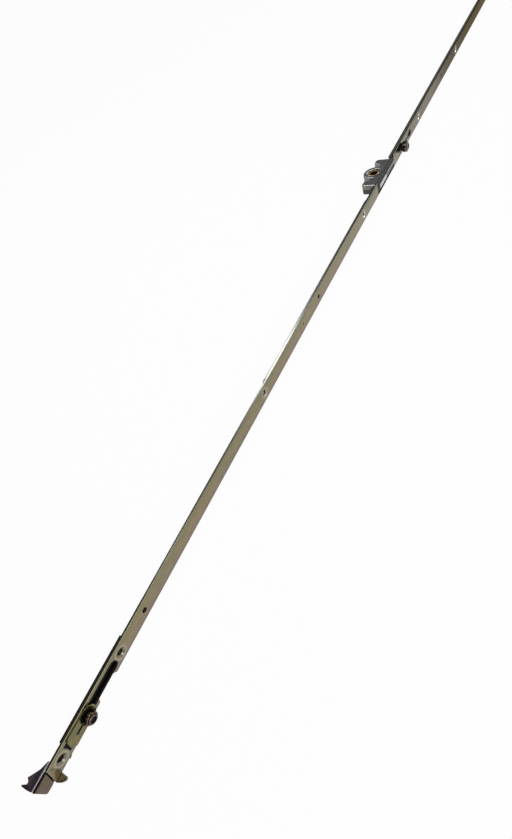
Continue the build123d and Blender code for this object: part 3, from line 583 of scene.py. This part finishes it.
# Upper cam. A larger cam of the same make on the upper rod: a collar that slides on the strip,
# a wide roller and the pin through both, chromated a lighter brown than the lower one.
upper_dark = (0.022, 0.019, 0.018)
upper_brown = (0.135, 0.100, 0.080)
upper_light = (0.320, 0.255, 0.220)
upper_socket_radius = 0.0028
upper_cam_low, upper_cam_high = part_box("upper_cam_roller")
upper_cam_y = (upper_cam_low.y + upper_cam_high.y) / 2
upper_cam_finish = turned_steel(
    "upper_cam_chromate", upper_cam_y, upper_socket_radius, upper_cam_high.x,
    upper_dark, upper_brown, upper_light,
)
eased_copy("upper_cam_collar", "upper_cam_ring", "drive", upper_cam_finish)
eased_copy("upper_cam_roller", "upper_cam_wheel", "upper_roller", upper_cam_finish)
eased_copy("upper_cam_pin", "upper_cam_stud", "drive", upper_cam_finish)

# Drive rods and rack. Slit steel strips behind the faceplate, zinc plated and dull, with the
# milled rack that joins them in the gearbox. A dark stripe of painted shade runs along the
# front of the rods, with a thin painted highlight in it.
rod_dark = (0.150, 0.145, 0.120)
rod_light = (0.260, 0.250, 0.205)
rod_side = (0.42, 0.415, 0.40)
rod_painted_shade = (0.012, 0.011, 0.010)
track_half_width = 0.0032
glint_z = -0.0008
glint_half_width = 0.0005
rod_half_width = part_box("middle_rod")[1].z
rod_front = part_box("upper_rod")[1].x
rod_finish, tree, shader = new_material("rod_zinc")
cloud = noise(tree, (1, 0.05, 1), 420, 4.0, 0.6)
film = ramp(tree, cloud, (0.32, rod_dark), (0.7, rod_light))
sideways = away_from(tree, "Z")
slit_side = limits(tree, sideways, rod_half_width - 2 * edge_blur, rod_half_width - edge_blur)
# Painted shade: a dark stripe along the rods' front, with a thin painted highlight in it.
track = together(
    tree, limits(tree, sideways, track_half_width + 4 * edge_blur, track_half_width),
    along(tree, "X", rod_front - 2 * edge_blur, rod_front - edge_blur),
)
glint_reach = away_from(tree, "Z", glint_z)
rod_glint = limits(tree, glint_reach, glint_half_width + 2 * edge_blur, glint_half_width)
film = blended(tree, track, film, blended(tree, rod_glint, rod_painted_shade, rod_light))
rolled(tree, shader, blended(tree, slit_side, film, rod_side), 0.2, 0.34, 0.25)
for name in ("rack", "lower_rod", "middle_rod", "upper_rod"):
    finish(name, rod_finish)

# Lips of the upper rod. Its long edges are rolled back to a narrow lip, which stiffens the long
# strip. They are the same zinc plated steel.
lip_depth = 0.0019
lip_width = 0.0012
rod_low, rod_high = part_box("upper_rod")
rod_lips_form = bmesh.new()
lip_length = rod_high.y - rod_low.y
for way in (-1, 1):
    middle = Vector((
        rod_low.x - lip_depth / 2, (rod_low.y + rod_high.y) / 2, way * (rod_high.z - lip_width / 2)
    ))
    shaped = Matrix.Translation(middle) @ Matrix.Diagonal((lip_depth, lip_length, lip_width, 1))
    bmesh.ops.create_cube(rod_lips_form, size=1.0, matrix=shaped)
rod_lips_mesh = bpy.data.meshes.new("rod_lips")
rod_lips_form.to_mesh(rod_lips_mesh)
rod_lips_form.free()
rod_lips_mesh.materials.append(rod_finish)
rod_lips = new_piece("rod_lips", rod_lips_mesh)
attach(rod_lips, "drive")

# Rivets of the rods. Steel rivets with low domed heads behind, which join the rack to the
# wide rods and the narrow rod to the wide one. Their shanks are filed flush in front.
rivet_shank_radius = 0.0016
rivet_shank_length = 0.004
rivet_head_radius = 0.0026
rivet_rim_height = 0.0003
rivet_dome_height = 0.0004
rack_low, rack_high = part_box("rack_rivets")
lap_low, lap_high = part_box("lap_rivets")
rivet_spacing = 0.007
rivet_finish, tree, shader = new_material("rivet_steel")
cloud = noise(tree, (1, 1, 1), 900, 4.0, 0.6)
film = ramp(tree, cloud, (0.32, rod_dark), (0.7, rod_light))
rolled(tree, shader, film, 0.22, 0.4, 0.2)
tree, sizes, settings = new_tree(
    "rivets",
    {"Shank radius": rivet_shank_radius, "Shank length": rivet_shank_length,
     "Head radius": rivet_head_radius, "Rim height": rivet_rim_height,
     "Dome height": rivet_dome_height},
)
head = node(
    tree, "GeometryNodeMeshCylinder",
    {"Vertices": 28, "Fill Segments": 5, "Radius": sizes["Head radius"], "Depth": sizes["Rim height"]},
).outputs["Mesh"]
position = node(tree, "GeometryNodeInputPosition").outputs["Position"]
parts = node(tree, "ShaderNodeSeparateXYZ", {"Vector": position})
level = node(tree, "ShaderNodeCombineXYZ", {"X": parts.outputs["X"], "Y": parts.outputs["Y"], "Z": 0.0})
reach = node(
    tree, "ShaderNodeVectorMath", {0: level.outputs["Vector"]}, operation="LENGTH"
).outputs["Value"]
share = worked(tree, "DIVIDE", reach, sizes["Head radius"])
fall = worked(tree, "SUBTRACT", 1.0, worked(tree, "MULTIPLY", share, share))
rise = node(tree, "ShaderNodeCombineXYZ", {"Z": worked(tree, "MULTIPLY", fall, sizes["Dome height"])})
is_top = worked(tree, "GREATER_THAN", parts.outputs["Z"], 0.0)
domed = node(
    tree, "GeometryNodeSetPosition",
    {"Geometry": head, "Selection": is_top, "Offset": rise.outputs["Vector"]},
)
head_lift = node(tree, "ShaderNodeCombineXYZ", {"Z": worked(tree, "MULTIPLY", sizes["Rim height"], 0.5)})
head = node(
    tree, "GeometryNodeTransform",
    {"Geometry": domed.outputs["Geometry"], "Translation": head_lift.outputs["Vector"]},
).outputs["Geometry"]
shank = node(
    tree, "GeometryNodeMeshCylinder",
    {"Vertices": 28, "Radius": sizes["Shank radius"], "Depth": sizes["Shank length"]},
).outputs["Mesh"]
shank_drop = node(tree, "ShaderNodeCombineXYZ", {"Z": worked(tree, "MULTIPLY", sizes["Shank length"], -0.5)})
shank = node(
    tree, "GeometryNodeTransform", {"Geometry": shank, "Translation": shank_drop.outputs["Vector"]}
).outputs["Geometry"]
joined = node(tree, "GeometryNodeJoinGeometry")
tree.links.new(head, joined.inputs[0])
tree.links.new(shank, joined.inputs[0])
set_out(tree, sizes["Points"], joined.outputs["Geometry"], (0, -pi / 2, 0), rivet_finish)
head_x = rack_low.x + rivet_rim_height + rivet_dome_height
rivet_ys = []
for low_y, high_y in ((rack_low.y, rack_high.y), (lap_low.y, lap_high.y)):
    rivet_ys += [low_y + rivet_head_radius, high_y - rivet_head_radius]
rivet_ys += [rack_low.y + rivet_head_radius + rivet_spacing, rack_high.y - rivet_head_radius - rivet_spacing]
rod_rivets = repeated("rod_rivets", [(head_x, y, 0) for y in rivet_ys], tree, settings)
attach(rod_rivets, "drive")
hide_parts("rack_rivets", "lap_rivets")

# Rod guides. Black moulded guides behind the rods, whose round pegs reach through the rods into
# the strip's peg holes.
finish("rod_guides", black_finish)

# Gearbox. Two die-cast zinc shells closed by rivets, with a lip that fills the strip's notch.
# The flat top is ground bright, the lip is duller, and the walls keep a darker casting skin,
# which is also painted darker as painted shade, most of all on the lower shell, with a dark
# parting line halfway. The lip carries painted light and shade on its front and edges.
zinc_dark = (0.48, 0.50, 0.48)
zinc_light = (0.58, 0.60, 0.58)
zinc_skin_and_shade = (0.250, 0.240, 0.215)
zinc_shadow = (0.095, 0.092, 0.090)
zinc_joint_and_shade_black = (0.012, 0.012, 0.012)
zinc_worn = (0.66, 0.68, 0.67)
lip_painted_lit = (0.36, 0.37, 0.36)
lip_painted_dim = (0.13, 0.13, 0.128)
lip_brow_shade = (0.08, 0.082, 0.08)
zinc_brow_shade = (0.10, 0.102, 0.10)
lip_flat_high_z = 0.0016
lip_flat_low_z = -0.0044
lip_shade_ys = (-0.019, -0.023)
lip_start = 0.0018
bright_depth = 0.0003
skin_depth = 0.0012
seam_half_width = 0.0003
seam_blur = 0.00015
brow_reach = 0.0016
matted_rough = 0.35
lip_gloss = (0.6, 0.6, 0.6)
matted_gloss = (0.25, 0.25, 0.25)
notch_radius = 0.0012
notch_places = ((0.0047, 0.0006), (-0.0275, 0.0010))
case_top_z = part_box("case_upper")[1].z
zinc_finish, tree, shader = new_material("cast_zinc")
cloud = noise(tree, (1, 1, 1), 420, 4.0, 0.6)
bright = ramp(tree, cloud, (0.3, zinc_dark), (0.7, zinc_light))
height = coordinate(tree, "Z")
under = limits(tree, height, case_top_z - bright_depth, case_top_z - skin_depth)
# Painted shade: the lower shell's walls are painted darker than the upper shell's.
skin = blended(tree, limits(tree, height, 2 * edge_blur, -2 * edge_blur), zinc_skin_and_shade, zinc_shadow)
film = blended(tree, under, bright, skin)
seam = limits(tree, away_from(tree, "Z"), seam_half_width + seam_blur, seam_half_width)
film = blended(tree, seam, film, zinc_joint_and_shade_black)
wear = edge_wear(tree, 0.00035, 0.03, 0.35)
film = blended(tree, wear, film, zinc_worn)
on_lip = along(tree, "X", strip_back + lip_start - edge_blur, strip_back + lip_start)
# Painted light and shade on the lip's flat front: lighter above, darker below.
lip_film = blended(tree, along(tree, "Y", *lip_shade_ys), lip_painted_lit, lip_painted_dim)
# Painted shade darkens the rounded edges above and below the lip's flat, with a black line at its lower
# edge.
for start_z, full_z, shade in (
    (lip_flat_high_z - 2 * edge_blur, lip_flat_high_z + 2 * edge_blur, lip_brow_shade),
    (lip_flat_low_z, lip_flat_low_z - 3 * edge_blur, zinc_joint_and_shade_black),
    (lip_flat_low_z - 11 * edge_blur, lip_flat_low_z - 13 * edge_blur, lip_brow_shade),
):
    lip_film = blended(tree, limits(tree, height, start_z, full_z), lip_film, shade)
# The two round notches are not modelled: their shade is painted as black discs on the lip.
for notch_y, notch_z in notch_places:
    reach = from_axis(tree, (0, notch_y, notch_z), (0, 1, 1))
    in_notch = limits(tree, reach, notch_radius + 2 * edge_blur, notch_radius)
    lip_film = blended(tree, in_notch, lip_film, zinc_joint_and_shade_black)
# Painted shade along the top just behind the lip, which is also made matt.
brow_matt_and_shade = together(
    tree, along(tree, "X", strip_back - brow_reach, strip_back - brow_reach / 2),
    along(tree, "Z", lip_flat_high_z, lip_flat_high_z + 4 * edge_blur),
)
film = blended(tree, brow_matt_and_shade, film, zinc_brow_shade)
film = blended(tree, on_lip, film, lip_film)
tree.links.new(film, shader.inputs["Base Color"])
glance = blended(tree, on_lip, (1.0, 1.0, 1.0), lip_gloss)
glance = blended(tree, brow_matt_and_shade, glance, matted_gloss)
tree.links.new(glance, shader.inputs["Specular Tint"])
rough = worked(tree, "ADD", spread(tree, cloud, 0.22, 0.32), worked(tree, "MULTIPLY", brow_matt_and_shade, matted_rough))
tree.links.new(rough, shader.inputs["Roughness"])
relief(tree, shader, cloud, 0.06, 0.00004)
eased_copy("case_upper", "gearbox_upper_shell", "frame", zinc_finish)
eased_copy("case_lower", "gearbox_lower_shell", "frame", zinc_finish)
finish("case_rivets", zinc_finish)

# Lip key. A bright zinc plate, set in the middle of the lip between two round notches, which
# lines the gearbox up with the strip. It is pressed into the lip's front, and its bright
# colour is partly a painted highlight on the lip.
key_bottom_y = -0.0215
key_top_y = 0.0035
key_low_z = -0.004
key_high_z = 0.0012
key_thickness = 0.00025
key_root = 0.0003
key_corner = 0.0006
bevel_share = 0.4
key_zinc_and_highlight = (0.60, 0.61, 0.60)
key_finish, tree, shader = new_material("lip_key_zinc")
cloud = noise(tree, (1, 0.3, 1), 700, 3.0, 0.5)
film = blended(tree, cloud, key_zinc_and_highlight, zinc_worn)
tree.links.new(film, shader.inputs["Base Color"])
tree.links.new(spread(tree, cloud, 0.14, 0.26), shader.inputs["Roughness"])
relief(tree, shader, cloud, 0.03, 0.00003)


def rounded_plate(name, low, high, corner, material):
    """A plate facing +X between two corners, with rounded upright edges and a bevelled front."""
    form = bmesh.new()
    bmesh.ops.create_cube(form, size=1.0)
    size = high - low
    middle = (low + high) / 2
    for vertex in form.verts:
        vertex.co = Vector(middle[k] + vertex.co[k] * size[k] for k in range(3))
    upright = [edge for edge in form.edges if abs(edge.verts[0].co.x - edge.verts[1].co.x) > size.x / 2]
    bmesh.ops.bevel(form, geom=upright, offset=corner, segments=4, affect="EDGES", profile=0.5)
    front = [edge for edge in form.edges if min(vertex.co.x for vertex in edge.verts) > middle.x]
    bmesh.ops.bevel(form, geom=front, offset=size.x * bevel_share, segments=2, affect="EDGES", profile=0.5)
    mesh = bpy.data.meshes.new(name)
    form.to_mesh(mesh)
    form.free()
    mesh.materials.append(material)
    return new_piece(name, mesh)


lip_key = rounded_plate(
    "lip_key", Vector((strip_front - key_root, key_bottom_y, key_low_z)),
    Vector((strip_front + key_thickness, key_top_y, key_high_z)), key_corner, key_finish,
)
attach(lip_key, "frame")

# Follower. The toothed wheel that the handle's spindle turns, cast and yellow chromated. Its
# journal shows in the shells' bore, with a raised rim round the square socket, which is
# coloured dark brown in and round it.
gold_light = (0.86, 0.70, 0.36)
gold_dark = (0.58, 0.43, 0.18)
socket_brown = (0.075, 0.040, 0.022)
socket_brown_radius = 0.0048
socket_brown_fade = 0.0008
socket_brown_stray = 0.0006
follower_finish, tree, shader = new_material("follower_chromate")
cloud = noise(tree, (1, 1, 1), 380, 3.0, 0.5)
film = ramp(tree, cloud, (0.3, gold_dark), (0.65, gold_light))
reach = from_axis(tree, (0, 0, 0), (1, 1, 0))
ragged = worked(tree, "ADD", reach, spread(tree, cloud, -socket_brown_stray, socket_brown_stray))
socket_browning = limits(tree, ragged, socket_brown_radius + socket_brown_fade, socket_brown_radius)
tree.links.new(blended(tree, socket_browning, film, socket_brown), shader.inputs["Base Color"])
tree.links.new(spread(tree, cloud, 0.36, 0.5), shader.inputs["Roughness"])
relief(tree, shader, cloud, 0.15, 0.00003)
eased_copy("follower_pinion", "follower_wheel", "follower", follower_finish)

# Floor, backdrop and light. The part lies on a wide white floor under four soft lamps, in a grey
# room with two dark parts that the metal mirrors. To the camera the room is plain white.
floor_reach = 9.0
floor_z = cad_box[0][2]
camera_share = 0.96
glossy_share = 0.5
floor_mesh = bpy.data.meshes.new("floor")
corners = [(x * floor_reach, y * floor_reach, floor_z) for x, y in ((-1, -1), (1, -1), (1, 1), (-1, 1))]
floor_mesh.from_pydata(corners, [], [(0, 1, 2, 3)])
floor = new_piece("floor", floor_mesh)
floor_paint = bpy.data.materials.new("floor_white")
floor_paint.use_nodes = True
tree = floor_paint.node_tree
tree.nodes.clear()
path = node(tree, "ShaderNodeLightPath").outputs
seen = worked(tree, "MULTIPLY", path["Is Camera Ray"], camera_share)
mirrored = worked(tree, "MAXIMUM", path["Is Glossy Ray"], path["Is Transmission Ray"])
share = worked(tree, "MAXIMUM", seen, worked(tree, "MULTIPLY", mirrored, glossy_share))
matt = node(tree, "ShaderNodeBsdfDiffuse", {"Color": (0.9, 0.9, 0.9, 1)})
glow = node(tree, "ShaderNodeEmission", {"Color": (1, 1, 1, 1), "Strength": 1.0})
mixed = node(tree, "ShaderNodeMixShader", {0: share, 1: matt.outputs["BSDF"], 2: glow.outputs["Emission"]})
node(tree, "ShaderNodeOutputMaterial", {"Surface": mixed.outputs[0]})
floor_mesh.materials.append(floor_paint)

room_level = 0.55
dark_parts = (
    (Vector((-0.42, 0.50, 0.65)), 0.48, 0.68, 0.13),
    (Vector((-0.35, -0.90, 0.22)), 0.80, 0.93, 0.06),
)
world = bpy.data.worlds.new("studio")
bpy.context.scene.world = world
world.use_nodes = True
tree = world.node_tree
tree.nodes.clear()
path = node(tree, "ShaderNodeLightPath").outputs
direction = node(tree, "ShaderNodeTexCoord").outputs["Generated"]
level = room_level
for way, start, full, dark_level in dark_parts:
    ways = {0: direction, 1: way.normalized()}
    nearness = node(tree, "ShaderNodeVectorMath", ways, operation="DOT_PRODUCT").outputs["Value"]
    values = {"Value": nearness, "From Min": start, "From Max": full,
              "To Min": room_level, "To Max": dark_level}
    darkened = node(tree, "ShaderNodeMapRange", values).outputs["Result"]
    level = worked(tree, "MINIMUM", level, darkened)
room = node(tree, "ShaderNodeBackground", {"Color": (1, 1, 1, 1), "Strength": level})
white = node(tree, "ShaderNodeBackground", {"Color": (1, 1, 1, 1), "Strength": 1.0})
mixed = node(
    tree, "ShaderNodeMixShader", {0: path["Is Camera Ray"], 1: room.outputs[0], 2: white.outputs[0]}
)
node(tree, "ShaderNodeOutputWorld", {"Surface": mixed.outputs[0]})


def softbox(name, place, aim, width, height, brightness):
    """A rectangular lamp whose face has this brightness."""
    light = bpy.data.lights.new(name, "AREA")
    light.shape = "RECTANGLE"
    light.size = width
    light.size_y = height
    light.energy = brightness * pi * width * height
    lamp = bpy.data.objects.new(name, light)
    bpy.context.scene.collection.objects.link(lamp)
    way = Vector(aim) - Vector(place)
    lamp.matrix_world = Matrix.Translation(place) @ way.to_track_quat("-Z", "Y").to_matrix().to_4x4()


softbox("key_lamp", (0.92, -0.70, 0.72), (0, -0.3, 0), 1.0, 0.6, 2.8)
softbox("edge_lamp", (-0.24, -0.42, 0.73), (0, 0, 0), 0.26, 0.26, 5.0)
softbox("band_lamp", (-0.47, 0.23, 0.68), (0, -0.29, 0), 0.14, 0.62, 3.0)
softbox("end_lamp", (0.80, 1.15, 0.55), (0, 0, 0), 1.5, 0.45, 3.0)

# Camera. It stands where the photograph was taken from, over the part's lower end, with the
# place, the turn and the lens that fit the photograph.
camera_place = Vector((0.254125, -0.616520, 0.342609))
camera_turn = (radians(38.68887), radians(18.42196), radians(26.97961))
lens = 20.949
camera_data = bpy.data.cameras.new("camera")
camera_data.lens = lens
camera_data.sensor_width = 36.0
camera_data.clip_start = 0.01
camera = bpy.data.objects.new("camera", camera_data)
bpy.context.scene.collection.objects.link(camera)
camera.location = camera_place
camera.rotation_euler = camera_turn
bpy.context.scene.camera = camera
bpy.context.scene.view_settings.view_transform = "Standard"
